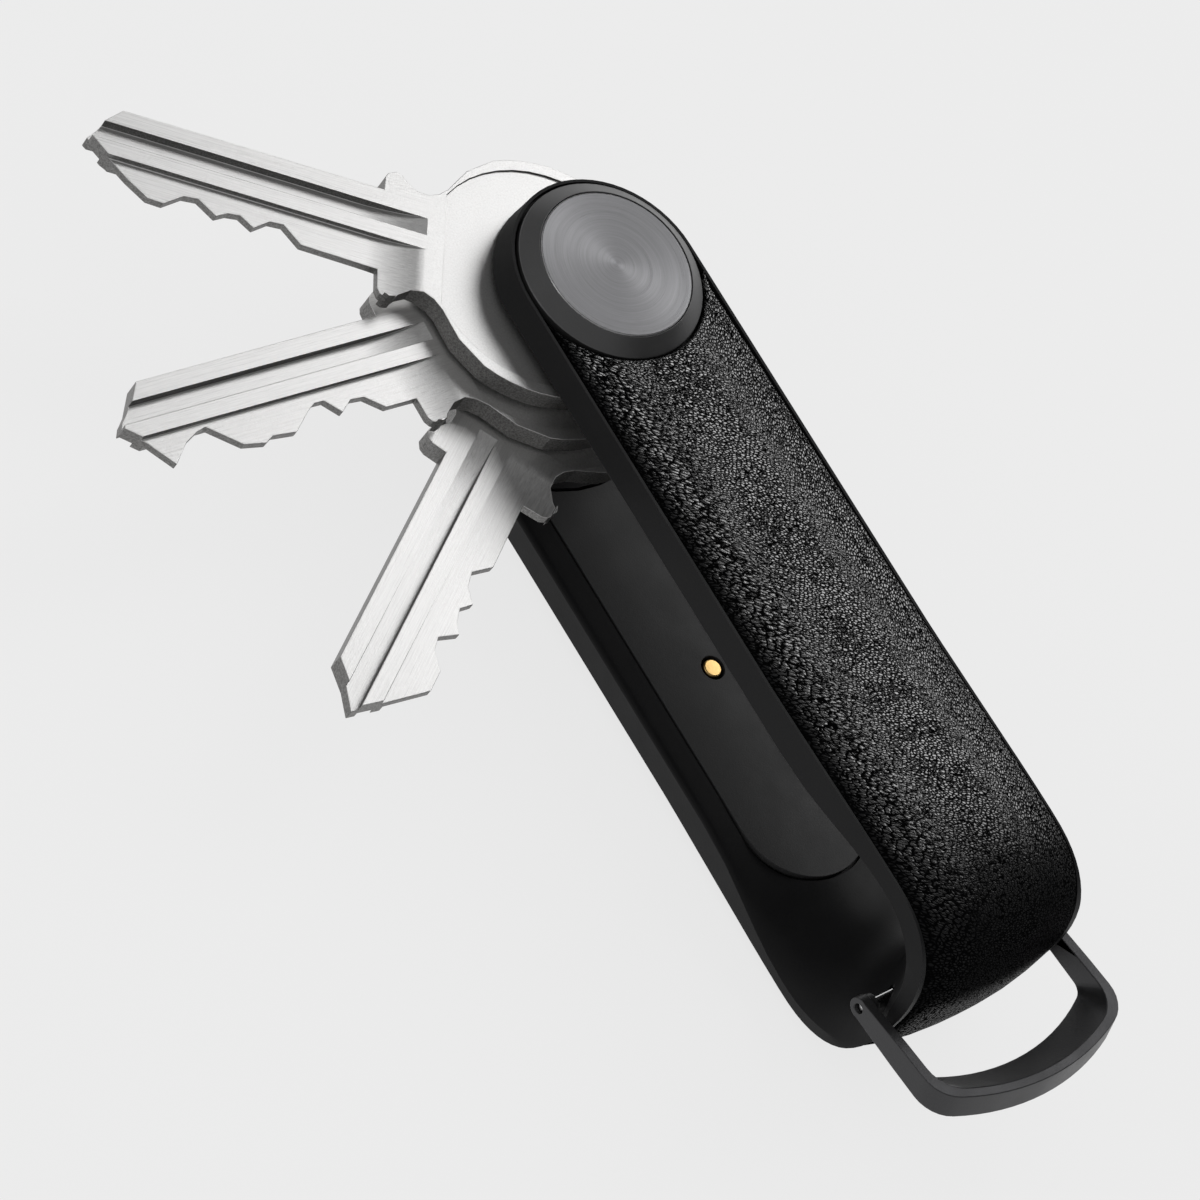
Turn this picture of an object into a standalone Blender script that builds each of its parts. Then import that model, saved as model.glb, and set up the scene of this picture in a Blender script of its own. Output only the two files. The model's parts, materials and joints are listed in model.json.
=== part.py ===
"""Key organizer: a moulded U frame under a leather cover, three keys on a locking post, a swinging ring bail.

+X runs from the key post to the bail, +Z out of the front cap, and the part lies on its rear cap.
The origin is on the post's axis, on the flat face of the lock screw, which is the lowest point.
Heights are counted from the middle plane of the case, which lies MID_HEIGHT above the origin.
"""
import math

import bmesh
import bpy

MM = 0.001

# Fits and cuts
CLEARANCE = 0.3 * MM
OVERRUN = 4.0 * MM
WELD = 0.001 * MM

# Frame: two panels that meet in a bend, with a bay for the keys between them
BODY_HALF_WIDTH = 10.45 * MM
SIDE_DRAFT = 0.35 * MM
BAY_HALF_HEIGHT = 7.25 * MM
PANEL_THICKNESS = 3.45 * MM
BEND_CENTRE = 63.6 * MM
BEND_REACH = 9.8 * MM
BEND_RISE = 0.65 * MM
BEND_RISE_LENGTH = 23.6 * MM
EDGE_ROUND = 0.2 * MM
EDGE_ANGLE = 50.0
COVER_BED_DEPTH = 0.9 * MM
LIP_WIDTH = 0.3 * MM

# Scoop at the closed end of the bay
SCOOP_RIM_LENGTH = 15.6 * MM
SCOOP_RIM_REACH = 8.3 * MM
SCOOP_RIM_WALL = 1.1 * MM
SCOOP_CORE_INSET = 5.1 * MM
SCOOP_CORE_REACH = 8.8 * MM
BAY_EDGE_ROUND = 0.5 * MM
BAY_EDGE_DEPTH = 0.7 * MM
FRONT_RIM_ROUND = 0.12 * MM
REAR_RIM_ROUND = 1.3 * MM
REAR_RIM_DEPTH = 2.6 * MM

# Leather cover
COVER_EDGE_RISE = 0.05 * MM
COVER_CROWN_PIVOT = 0.3 * MM
COVER_CROWN_BEND = 1.15 * MM
COVER_CAP_GAP = 0.45 * MM

# Caps on both panels
BEZEL_WIDTH = 1.65 * MM
BEZEL_EDGE_PROUD = 0.26 * MM
BEZEL_RISE = 1.21 * MM
BEZEL_SEAT_DEPTH = 1.22 * MM
BEZEL_LEDGE = 1.45 * MM
DISC_FIT = 0.15 * MM
DISC_INSET = 0.02 * MM
DISC_THICKNESS = 0.95 * MM
DISC_CHAMFER = 0.12 * MM

# Post, lock screw and its washer
POST_RADIUS = 2.5 * MM
POST_WALL = 0.6 * MM
POST_FLANGE_THICKNESS = 0.75 * MM
POST_END_INSET = 1.1 * MM
POST_BORE_TOP = 1.0 * MM
SCREW_PROUD = 0.43 * MM
SCREW_HEAD_FIT = 0.35 * MM
SCREW_HEAD_THICKNESS = 1.4 * MM
SCREW_END_GAP = 1.0 * MM
SLOT_WIDTH = 1.8 * MM
SLOT_LENGTH = 11.0 * MM
SLOT_DEPTH = 0.8 * MM
WASHER_THICKNESS = 0.45 * MM
WASHER_RADIUS = 4.3 * MM

# Keys: each about its own hole, blade along +X, cuts at +Y
KEY_COUNT = 3
KEY_ANGLES = (-126.0, -93.2, -56.5)
KEY_THICKNESS = 2.2 * MM
KEY_GAP = 0.4 * MM
KEY_TOP_GAP = 0.35 * MM
KEY_HOLE_FIT = 0.4 * MM
KEY_WASHER_RADIUS = 5.2 * MM
BOW_CENTRE = 5.15 * MM
BOW_RADIUS = 12.95 * MM
BOW_RIM_WIDTH = 1.15 * MM
BOW_RIM_STEP = 0.22 * MM
NECK_LENGTH = 4.5 * MM
NECK_HALF_WIDTH = 5.5 * MM
LUG_HEIGHT = 1.55 * MM
SPINE_DROP = 0.85 * MM
BLADE_LENGTH = 29.6 * MM
BLADE_HEIGHT = 8.8 * MM
MILL_RADIUS = 27.0 * MM
FRONT_GROOVE_DEPTH = 0.9 * MM
FRONT_STEP_DEPTH = 0.6 * MM
BACK_GROOVE_DEPTH = 0.6 * MM
BACK_STEP_DEPTH = 0.75 * MM

# Washers that fill the bay under the keys
SPACER_COUNT = 3
SPACER_RADIUS = 7.5 * MM
BASE_WASHER_MARGIN = 1.15 * MM

# Liner of the rear panel and its stud
LINER_MARGIN = 3.25 * MM
LINER_GAP = 4.1 * MM
LINER_END_INSET = 13.8 * MM
LINER_THICKNESS = 0.8 * MM
STUD_RADIUS = 0.95 * MM
STUD_DEPTH = 1.9 * MM

# Ring bail and its pin
BAIL_OFFSET = 6.9 * MM
BAIL_TILT = 9.5
BAIL_HEIGHT = 2.75 * MM
BAIL_ROOT_HEIGHT = 2.1 * MM
BAIL_SIDE_GAP = 0.7 * MM
BAIL_ARM_THICKNESS = 1.05 * MM
BAIL_REACH = 14.2 * MM
BAIL_CROWN_RADIUS = 25.9 * MM
BAIL_CORNER_RADIUS = 3.6 * MM
BAIL_FOOT_CORNER = 1.7 * MM
BAIL_TOP_BAR = 0.85 * MM
BAIL_FOOT_OUT = 0.4 * MM
BAIL_FOOT_IN = 3.0 * MM
BAIL_EYE_RADIUS = 1.1 * MM
BAIL_BOSS_RADIUS = 0.95 * MM
BAIL_BOSS_GAP = 0.05 * MM
PIN_RADIUS = 0.35 * MM
PIN_FIT = 0.15 * MM
PIN_INSET = 0.4 * MM
PIN_POCKET_RADIUS = 1.2 * MM
PIN_POCKET_FLOOR = 7.9 * MM

# Shares: exponents and places that shape the outlines
BEND_POWER_SHARE = 2.5
RIM_POWER_SHARE = 2.3
CORE_POWER_SHARE = 2.4
SCOOP_POWER_SHARE = 1.75
CROWN_POWER_SHARE = 2.5
BAY_RUN_SHARES = (0.0, 0.5, 0.76, 0.81, 0.86, 0.9, 0.94, 0.97)
SCOOP_STATION_SHARES = (0.0, 0.14, 0.28, 0.42, 0.55, 0.66, 0.75, 0.82, 0.88, 0.925, 0.955, 0.975, 0.99, 1.0)
COVER_STATION_SHARES = (0.0, 0.25, 0.5, 0.7, 0.84, 0.93, 1.0)
STUD_PLACE_SHARE = 0.477
NECK_START_SHARE = 0.915
RECESS_END_SHARE = 0.776
SHOULDER_TOP_SHARE = 0.99
# Bow contour beside the neck, in bow radii from the bow's centre: along, across
BOW_NECK_SHARES = ((0.425, 0.905), (0.628, 0.74), (0.711, 0.615), (0.765, 0.53), (0.835, 0.462))
# Stop lug: share of the neck's length, share of the lug's height
LUG_SHARES = ((0.26, 0.04), (0.52, 0.55), (0.62, 0.9), (0.76, 1.0), (0.92, 0.75), (0.985, 0.4))
# Cut edge and tip of each blade: share of its length from the shoulder, share of its height from the spine
CUT_SHARES = (
    ((0.256, 0.969), (0.317, 0.781), (0.363, 0.794), (0.414, 0.933), (0.461, 0.827), (0.502, 0.849),
     (0.538, 0.925), (0.599, 0.777), (0.647, 0.795), (0.709, 0.959), (0.762, 0.951), (0.831, 0.792),
     (0.889, 0.625), (0.908, 0.59), (0.97, 0.4), (0.942, 0.281), (0.926, 0.189), (0.87, 0.0)),
    ((0.116, 0.987), (0.172, 0.812), (0.222, 0.798), (0.27, 0.907), (0.311, 0.731), (0.348, 0.727),
     (0.376, 0.778), (0.456, 0.977), (0.54, 0.945), (0.573, 1.0), (0.648, 0.95), (0.742, 0.652),
     (0.778, 0.678), (0.827, 0.753), (0.896, 0.957), (0.955, 0.649), (1.014, 0.456), (0.994, 0.356),
     (0.959, 0.253), (0.9, 0.0)),
    ((0.268, 0.999), (0.329, 0.824), (0.382, 0.853), (0.433, 0.986), (0.473, 0.882), (0.527, 0.923),
     (0.559, 0.998), (0.61, 0.814), (0.662, 0.843), (0.714, 0.992), (0.798, 0.992), (0.931, 0.617),
     (1.014, 0.369), (0.945, 0.209), (0.883, 0.0)),
)
# Milling across a blade: shares of its height from the spine where each groove or step starts and ends
FRONT_GROOVE_SHARES = (0.2, 0.42)
FRONT_STEP_SHARES = (0.6, 1.3)
BACK_GROOVE_SHARES = (0.44, 0.56)
BACK_STEP_SHARES = (0.64, 1.3)
MILL_RUN_SHARE = 1.2
# Crown radii of the bail's inner edge and of its foot, against the outer edge
BAIL_INNER_CROWN_SHARE = 0.919
BAIL_FOOT_CROWN_SHARE = 0.846

# Resolution
ROUND_STEPS = 60
HIDDEN_ROUND_STEPS = 30
SMALL_ROUND_STEPS = 20
BOW_STEPS = 36
BEND_STEPS = 14
RISE_STEPS = 9
CORNER_STEPS = 6
CROWN_STEPS = 16
MILL_STEPS = 6
SHARP_ANGLE = 28.0
FLAT_ANGLE = 0.5

# Sizes that follow
OUTER_HALF_WIDTH = BODY_HALF_WIDTH - SIDE_DRAFT
PANEL_HALF_HEIGHT = BAY_HALF_HEIGHT + PANEL_THICKNESS
BED_HALF_WIDTH = OUTER_HALF_WIDTH - LIP_WIDTH
BED_HEIGHT = PANEL_HALF_HEIGHT - COVER_BED_DEPTH
CAP_RADIUS = BED_HALF_WIDTH - CLEARANCE
DISC_RADIUS = CAP_RADIUS - BEZEL_WIDTH - DISC_FIT
CAP_FOOT = BED_HEIGHT + CLEARANCE
CAP_EDGE_HEIGHT = PANEL_HALF_HEIGHT + BEZEL_EDGE_PROUD
CAP_FACE_HEIGHT = CAP_EDGE_HEIGHT + BEZEL_RISE
CAP_SEAT_HEIGHT = CAP_FACE_HEIGHT - BEZEL_SEAT_DEPTH
CAP_BORE = DISC_RADIUS + DISC_FIT - BEZEL_LEDGE
DISC_TOP = CAP_FACE_HEIGHT - DISC_INSET
MID_HEIGHT = CAP_FACE_HEIGHT + SCREW_PROUD
SCREW_HEAD_RADIUS = DISC_RADIUS + DISC_FIT - SCREW_HEAD_FIT
POST_BORE_RADIUS = POST_RADIUS - POST_WALL
POST_END = PANEL_HALF_HEIGHT - POST_END_INSET
RUNNING_BORE = POST_RADIUS + CLEARANCE
KEY_TOP = BAY_HALF_HEIGHT - KEY_TOP_GAP
NECK_START = BOW_CENTRE + NECK_START_SHARE * BOW_RADIUS
SHOULDER_X = NECK_START + NECK_LENGTH
SPINE_Y = SPINE_DROP - NECK_HALF_WIDTH
BASE_WASHER_RADIUS = BODY_HALF_WIDTH - BASE_WASHER_MARGIN
LINER_HALF_WIDTH = BODY_HALF_WIDTH - LINER_MARGIN
LINER_START = BASE_WASHER_RADIUS + LINER_GAP
LINER_END_CENTRE = BEND_CENTRE - LINER_END_INSET
STUD_X = LINER_START + STUD_PLACE_SHARE * (LINER_END_CENTRE + LINER_HALF_WIDTH - LINER_START)
BAIL_X = BEND_CENTRE + BAIL_OFFSET
BAIL_INNER_HALF_WIDTH = BODY_HALF_WIDTH + BAIL_SIDE_GAP
BAIL_OUTER_HALF_WIDTH = BAIL_INNER_HALF_WIDTH + BAIL_ARM_THICKNESS

for thing in list(bpy.data.objects):
    bpy.data.objects.remove(thing, do_unlink=True)

PARTS = bpy.data.collections.new("key_organizer")
CUTTERS = bpy.data.collections.new("key_organizer_cutters")
bpy.context.scene.collection.children.link(PARTS)
bpy.context.scene.collection.children.link(CUTTERS)

ORIGIN = (0.0, 0.0, 0.0)
UNTURNED = (0.0, 0.0, 0.0)
UPRIGHT = (0.5 * math.pi, 0.0, 0.0)
ACROSS = (-0.5 * math.pi, 0.0, 0.0)
MID = (0.0, 0.0, MID_HEIGHT)


def material(name, color, roughness, metallic):
    """A named surface finish."""
    made = bpy.data.materials.new(name)
    made.use_nodes = True
    shader = made.node_tree.nodes["Principled BSDF"]
    shader.inputs["Base Color"].default_value = (*color, 1.0)
    shader.inputs["Roughness"].default_value = roughness
    shader.inputs["Metallic"].default_value = metallic
    return made


def add(name, mesh, finish=None, location=ORIGIN, rotation=UNTURNED, parent=None):
    """A piece with its finish, or a cutter when it has none."""
    piece = bpy.data.objects.new(name, mesh)
    piece.location = location
    piece.rotation_euler = rotation
    piece.parent = parent
    if finish is None:
        CUTTERS.objects.link(piece)
        piece.hide_render = True
        piece.display_type = "WIRE"
    else:
        PARTS.objects.link(piece)
        mesh.materials.append(finish)
        mesh.shade_smooth()
        mesh.set_sharp_from_angle(angle=math.radians(SHARP_ANGLE))
    return piece


def cut(piece, tool, operation="DIFFERENCE"):
    """A live Boolean of the piece with a tool."""
    modifier = piece.modifiers.new(operation.lower() + "_" + tool.name, "BOOLEAN")
    modifier.operation = operation
    modifier.solver = "EXACT"
    modifier.object = tool


def mesh_of(bm, name):
    """A mesh from a bmesh, its faces pointing out."""
    bmesh.ops.recalc_face_normals(bm, faces=bm.faces)
    mesh = bpy.data.meshes.new(name)
    bm.to_mesh(mesh)
    bm.free()
    return mesh


def drum(name, radius, length, steps=ROUND_STEPS):
    """A cylinder along Z, centred on its own middle."""
    bm = bmesh.new()
    bmesh.ops.create_cone(bm, cap_ends=True, segments=steps, radius1=radius, radius2=radius, depth=length)
    return mesh_of(bm, name)


def plate(name, outlines, thickness):
    """A flat shape in the XY plane, centred on its thickness; outlines after the first are holes."""
    curve = bpy.data.curves.new(name, "CURVE")
    curve.dimensions = "2D"
    curve.fill_mode = "BOTH"
    curve.extrude = 0.5 * thickness
    for outline in outlines:
        line = curve.splines.new("POLY")
        line.points.add(len(outline) - 1)
        line.use_cyclic_u = True
        for point, (x, y) in zip(line.points, outline):
            point.co = (x, y, 0.0, 1.0)
    drawn = bpy.data.objects.new(name + "_outline", curve)
    bpy.context.scene.collection.objects.link(drawn)
    graph = bpy.context.evaluated_depsgraph_get()
    filled = bpy.data.meshes.new_from_object(drawn.evaluated_get(graph))
    bpy.data.objects.remove(drawn)
    bm = bmesh.new()
    bm.from_mesh(filled)
    bmesh.ops.remove_doubles(bm, verts=bm.verts, dist=WELD)
    bmesh.ops.dissolve_limit(bm, angle_limit=math.radians(FLAT_ANGLE), verts=bm.verts, edges=bm.edges)
    return mesh_of(bm, name)


def turned(name, profile, finish, location=MID, steps=ROUND_STEPS):
    """A piece turned about Z from a profile at +X of (radius, height), which runs down its outer side."""
    mesh = bpy.data.meshes.new(name)
    points = [(radius, 0.0, height) for radius, height in profile]
    edges = [(index, index + 1) for index in range(len(points) - 1)]
    if profile[0][0] > 0.0:
        edges.append((len(points) - 1, 0))
    mesh.from_pydata(points, edges, [])
    piece = add(name, mesh, finish, location)
    screw = piece.modifiers.new("turned", "SCREW")
    screw.axis = "Z"
    screw.angle = 2.0 * math.pi
    screw.steps = steps
    screw.render_steps = steps
    screw.use_merge_vertices = True
    screw.merge_threshold = WELD
    screw.use_smooth_shade = True
    return piece


def loft(name, rows, open_start=False):
    """A closed skin through rings of points with equal counts; an open start is left for a mirror."""
    bm = bmesh.new()
    rings = [[bm.verts.new(point) for point in row] for row in rows]
    for first, second in zip(rings, rings[1:]):
        for index in range(len(first)):
            after = (index + 1) % len(first)
            bm.faces.new((first[index], first[after], second[after], second[index]))
    if not open_start:
        bm.faces.new(rings[0])
    bm.faces.new(rings[-1])
    return mesh_of(bm, name)


def mirror_across(piece):
    """The other half of a piece that is open at its middle, y = 0."""
    mirror = piece.modifiers.new("other_half", "MIRROR")
    mirror.use_axis = (False, True, False)
    mirror.use_clip = True
    mirror.merge_threshold = WELD
    piece.modifiers.move(len(piece.modifiers) - 1, 0)


def smooth(share):
    """An eased ramp from 0 to 1."""
    held = min(max(share, 0.0), 1.0)
    return held * held * (3.0 - 2.0 * held)


def arc(radius, first, last, steps, centre=0.0):
    """Points on an arc about a centre on the X axis, between two angles in radians."""
    points = []
    for index in range(steps + 1):
        angle = first + (last - first) * index / steps
        points.append((centre + radius * math.cos(angle), radius * math.sin(angle)))
    return points


def circle(radius, steps):
    """Points on a full circle about the origin."""
    return arc(radius, 0.0, 2.0 * math.pi, steps)[:-1]


def quarter(reach, height, power, steps):
    """A superellipse quarter from (0, height) to (reach, 0)."""
    points = [(0.0, height)]
    for index in range(1, steps):
        angle = 0.5 * math.pi * (1.0 - index / steps)
        points.append((reach * math.cos(angle) ** (2.0 / power), height * math.sin(angle) ** (2.0 / power)))
    points.append((reach, 0.0))
    return points


def normals(line):
    """Outward unit normals of a side outline that runs front, bend, rear."""
    found = []
    for index in range(len(line)):
        ahead = line[min(index + 1, len(line) - 1)]
        back = line[max(index - 1, 0)]
        run = math.hypot(ahead[0] - back[0], ahead[1] - back[1])
        found.append(((back[1] - ahead[1]) / run, (ahead[0] - back[0]) / run))
    return found


def moved(line, offset):
    """A side outline moved outwards by an offset."""
    pairs = zip(line, normals(line))
    return [(x + along * offset, z + across * offset) for (x, z), (along, across) in pairs]


def body_half_height(x):
    """Half thickness of the closed body: the panels spread a little towards the bend."""
    return PANEL_HALF_HEIGHT + BEND_RISE * smooth(1.0 - (BEND_CENTRE - x) / BEND_RISE_LENGTH)


def body_side(start):
    """Side outline of the body: front panel, bend, rear panel."""
    line = [(start, body_half_height(start))]
    for index in range(RISE_STEPS):
        x = BEND_CENTRE - BEND_RISE_LENGTH * (1.0 - index / RISE_STEPS)
        line.append((x, body_half_height(x)))
    for x, z in quarter(BEND_REACH, PANEL_HALF_HEIGHT + BEND_RISE, BEND_POWER_SHARE, BEND_STEPS):
        line.append((BEND_CENTRE + x, z))
    return line + [(x, -z) for x, z in reversed(line[:-1])]


def plan(half_width):
    """Plan outline: round about the post, straight to well past the bend."""
    line = arc(half_width, 0.5 * math.pi, 1.5 * math.pi, ROUND_STEPS // 2)
    return line + [(2.0 * BEND_CENTRE, -half_width), (2.0 * BEND_CENTRE, half_width)]


# Finishes
MOULDED = material("moulded_black", (0.012, 0.012, 0.013), 0.42, 0.0)
LEATHER = material("leather_black", (0.008, 0.008, 0.009), 0.5, 0.0)
LINER = material("liner_black", (0.02, 0.02, 0.021), 0.5, 0.0)
BRASS = material("brass_stud", (0.75, 0.5, 0.22), 0.28, 1.0)
BEZEL = material("bezel_gunmetal", (0.05, 0.05, 0.052), 0.4, 0.9)
DISC = material("disc_brushed", (0.16, 0.16, 0.165), 0.3, 1.0)
POST = material("post_steel", (0.5, 0.5, 0.5), 0.35, 1.0)
REAR_BEZEL = material("rear_bezel_gunmetal", (0.05, 0.05, 0.052), 0.4, 0.9)
SCREW = material("screw_brushed", (0.16, 0.16, 0.165), 0.3, 1.0)
WASHER = material("washer_spring_steel", (0.42, 0.42, 0.43), 0.35, 1.0)
BASE = material("base_washer_black", (0.02, 0.02, 0.02), 0.4, 0.3)
SPACER = material("spacer_black", (0.025, 0.025, 0.025), 0.45, 0.2)
NICKEL = material("key_nickel", (0.72, 0.71, 0.69), 0.28, 1.0)
BAIL = material("bail_grey", (0.045, 0.045, 0.047), 0.42, 0.9)
PIN = material("pin_steel", (0.75, 0.75, 0.75), 0.2, 1.0)

# Frame: the side outline across the case, held to the drafted plan
body_width = 2.0 * (BODY_HALF_WIDTH + CLEARANCE)
frame_line = body_side(-BODY_HALF_WIDTH - OVERRUN)
frame = add("frame", plate("frame", [frame_line], body_width), MOULDED, MID, UPRIGHT)
overrun_half_width = OUTER_HALF_WIDTH - SIDE_DRAFT
overrun_height = PANEL_HALF_HEIGHT + (PANEL_HALF_HEIGHT - BAY_HALF_HEIGHT)
plan_levels = ((-overrun_height, overrun_half_width), (-PANEL_HALF_HEIGHT, OUTER_HALF_WIDTH),
               (-BAY_HALF_HEIGHT, BODY_HALF_WIDTH), (BAY_HALF_HEIGHT, BODY_HALF_WIDTH),
               (PANEL_HALF_HEIGHT, OUTER_HALF_WIDTH), (overrun_height, overrun_half_width))
plan_rows = [[(x, y, z) for x, y in plan(half)] for z, half in plan_levels]
plan_tool = add("frame_plan_cutter", loft("frame_plan_cutter", plan_rows), location=MID)
cut(frame, plan_tool, "INTERSECT")
rounding = frame.modifiers.new("outer_edges", "BEVEL")
rounding.width = EDGE_ROUND
rounding.segments = 2
rounding.limit_method = "ANGLE"
rounding.angle_limit = math.radians(EDGE_ANGLE)


def bay_line(centre, reach, half_height, power, lift_length):
    """Side outline of the bay: panel face, end, panel face; the panels may spread before the end."""
    line = []
    start = -2.0 * BODY_HALF_WIDTH
    for share in BAY_RUN_SHARES:
        x = start + (centre - start) * share
        lift = smooth(1.0 - (centre - x) / lift_length)
        line.append((x, BAY_HALF_HEIGHT + (half_height - BAY_HALF_HEIGHT) * lift))
    line += [(centre + x, z) for x, z in quarter(reach, half_height, power, BEND_STEPS)]
    return line + [(x, -z) for x, z in reversed(line[:-1])]


def flare(y, depth):
    """Share of a rounded rim at one distance from the middle, over its depth from the side."""
    near = max(0.0, (abs(y) - BODY_HALF_WIDTH + depth) / depth)
    return 1.0 - math.sqrt(1.0 - min(near, 1.0) ** 2)


def bay_row(y):
    """The bay's outline at one distance from the middle: a narrow core there, a wide rim at the side."""
    rim_height = PANEL_HALF_HEIGHT - SCOOP_RIM_WALL
    core = bay_line(BEND_CENTRE - SCOOP_CORE_INSET, SCOOP_CORE_REACH, BAY_HALF_HEIGHT, CORE_POWER_SHARE,
                    SCOOP_RIM_LENGTH)
    rim = bay_line(BEND_CENTRE, SCOOP_RIM_REACH, rim_height, RIM_POWER_SHARE, SCOOP_RIM_LENGTH)
    spread = min(abs(y) / BODY_HALF_WIDTH, 1.0) ** SCOOP_POWER_SHARE
    row = []
    for (x_core, z_core), (x_rim, z_rim), (along, across) in zip(core, rim, normals(rim)):
        end_share = smooth(1.0 - (BEND_CENTRE - x_rim) / SCOOP_RIM_LENGTH)
        rear_share = smooth(0.5 - 2.0 * z_rim / rim_height)
        side_round = BAY_EDGE_ROUND * (1.0 - end_share) + FRONT_RIM_ROUND * end_share * (1.0 - rear_share)
        rear_round = REAR_RIM_ROUND * end_share * rear_share
        grow = flare(y, BAY_EDGE_DEPTH) * side_round + flare(y, REAR_RIM_DEPTH) * rear_round
        x = x_core + (x_rim - x_core) * spread + along * grow
        z = z_core + (z_rim - z_core) * spread + across * grow
        row.append((x, y, z))
    return row


bay_rows = [bay_row(BODY_HALF_WIDTH * share) for share in SCOOP_STATION_SHARES]
bay_rows.append(bay_row(BODY_HALF_WIDTH + CLEARANCE))
bay = add("frame_bay_cutter", loft("frame_bay_cutter", bay_rows, open_start=True), location=MID)
mirror_across(bay)
cut(frame, bay)

bed_line = moved(frame_line, OVERRUN) + list(reversed(moved(frame_line, -COVER_BED_DEPTH)))
bed = add("frame_cover_bed_cutter", plate("frame_cover_bed_cutter", [bed_line], body_width),
          None, MID, UPRIGHT)
bed_plan = add("frame_bed_plan_cutter",
               plate("frame_bed_plan_cutter", [plan(BED_HALF_WIDTH)], 2.0 * overrun_height),
               location=MID)
cut(bed, bed_plan, "INTERSECT")
cut(frame, bed)

post_hole = add("frame_post_hole_cutter",
                drum("frame_post_hole_cutter", RUNNING_BORE, 2.0 * overrun_height, HIDDEN_ROUND_STEPS),
                location=MID)
cut(frame, post_hole)


def liner_outline(grow):
    """Plan of the liner plate: concave about the post, straight sides, round far end."""
    half = LINER_HALF_WIDTH + grow
    start = LINER_START - grow
    reach = math.asin(half / start)
    line = arc(start, reach, -reach, CORNER_STEPS)
    return line + arc(half, -0.5 * math.pi, 0.5 * math.pi, ROUND_STEPS // 2, LINER_END_CENTRE)


bed_floor = -BAY_HALF_HEIGHT - LINER_THICKNESS - CLEARANCE
bed_thickness = LINER_THICKNESS + 2.0 * CLEARANCE
liner_bed = add("frame_liner_bed_cutter",
                plate("frame_liner_bed_cutter", [liner_outline(CLEARANCE)], bed_thickness),
                location=(0.0, 0.0, MID_HEIGHT + bed_floor + 0.5 * bed_thickness))
cut(frame, liner_bed)
stud_floor = -BAY_HALF_HEIGHT - STUD_DEPTH - CLEARANCE
stud_room = STUD_DEPTH + 2.0 * CLEARANCE
stud_hole = add("frame_stud_hole_cutter",
                drum("frame_stud_hole_cutter", STUD_RADIUS + CLEARANCE, stud_room, SMALL_ROUND_STEPS),
                location=(STUD_X, 0.0, MID_HEIGHT + stud_floor + 0.5 * stud_room))
cut(frame, stud_hole)
pin_hole = add("frame_pin_hole_cutter",
               drum("frame_pin_hole_cutter", PIN_RADIUS + CLEARANCE, body_width, SMALL_ROUND_STEPS),
               None, (BAIL_X, 0.0, MID_HEIGHT), ACROSS)
cut(frame, pin_hole)
pocket_length = BODY_HALF_WIDTH + CLEARANCE - PIN_POCKET_FLOOR
for side, label in ((1.0, "far"), (-1.0, "near")):
    middle = side * (PIN_POCKET_FLOOR + 0.5 * pocket_length)
    tool_name = "frame_%s_pin_pocket_cutter" % label
    pocket = add(tool_name, drum(tool_name, PIN_POCKET_RADIUS, pocket_length, SMALL_ROUND_STEPS),
                 None, (BAIL_X, middle, MID_HEIGHT), ACROSS)
    cut(frame, pocket)

# Leather cover: crowned across, and fuller towards the bend
cover_half_width = BED_HALF_WIDTH - CLEARANCE
cover_line = body_side(0.0)
cover_under = moved(cover_line, CLEARANCE - COVER_BED_DEPTH)
cover_rows = []
for share in COVER_STATION_SHARES:
    y = cover_half_width * share
    row = []
    for (x, z), (along, across) in zip(cover_line, normals(cover_line)):
        crown = COVER_CROWN_PIVOT + (COVER_CROWN_BEND - COVER_CROWN_PIVOT) * smooth(x / BEND_CENTRE)
        rise = COVER_EDGE_RISE + crown * (1.0 - share ** CROWN_POWER_SHARE)
        row.append((x + along * rise, y, z + across * rise))
    row += [(x, y, z) for x, z in reversed(cover_under)]
    cover_rows.append(row)
cover = add("leather_cover", loft("leather_cover", cover_rows, open_start=True), LEATHER, MID)
mirror_across(cover)
cover_caps = add("cover_cap_cutter",
                 drum("cover_cap_cutter", CAP_RADIUS + COVER_CAP_GAP, 2.0 * overrun_height),
                 location=MID)
cut(cover, cover_caps)

# Liner and stud
stud_bore = circle(STUD_RADIUS + CLEARANCE, SMALL_ROUND_STEPS)
stud_bore = [(STUD_X + x, y) for x, y in stud_bore]
add("bay_liner", plate("bay_liner", [liner_outline(0.0), stud_bore], LINER_THICKNESS), LINER,
    (0.0, 0.0, MID_HEIGHT - BAY_HALF_HEIGHT - 0.5 * LINER_THICKNESS))
turned("liner_stud", ((0.0, 0.0), (STUD_RADIUS - DISC_CHAMFER, 0.0), (STUD_RADIUS, -DISC_CHAMFER),
                      (STUD_RADIUS, -STUD_DEPTH), (0.0, -STUD_DEPTH)),
       BRASS, (STUD_X, 0.0, MID_HEIGHT - BAY_HALF_HEIGHT), SMALL_ROUND_STEPS)

# Bezel rings on both panels, and the front disc
bezel_inner = DISC_RADIUS + DISC_FIT
bezel_profile = ((bezel_inner, CAP_FACE_HEIGHT), (CAP_RADIUS, CAP_EDGE_HEIGHT), (CAP_RADIUS, CAP_FOOT),
                 (CAP_BORE, CAP_FOOT), (CAP_BORE, CAP_SEAT_HEIGHT), (bezel_inner, CAP_SEAT_HEIGHT))
turned("front_bezel", bezel_profile, BEZEL)
turned("rear_bezel", [(radius, -height) for radius, height in reversed(bezel_profile)], REAR_BEZEL)
disc_under = DISC_TOP - DISC_THICKNESS
turned("front_disc", ((0.0, DISC_TOP), (DISC_RADIUS - DISC_CHAMFER, DISC_TOP),
                      (DISC_RADIUS, DISC_TOP - DISC_CHAMFER), (DISC_RADIUS, disc_under),
                      (0.0, disc_under)), DISC)

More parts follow.
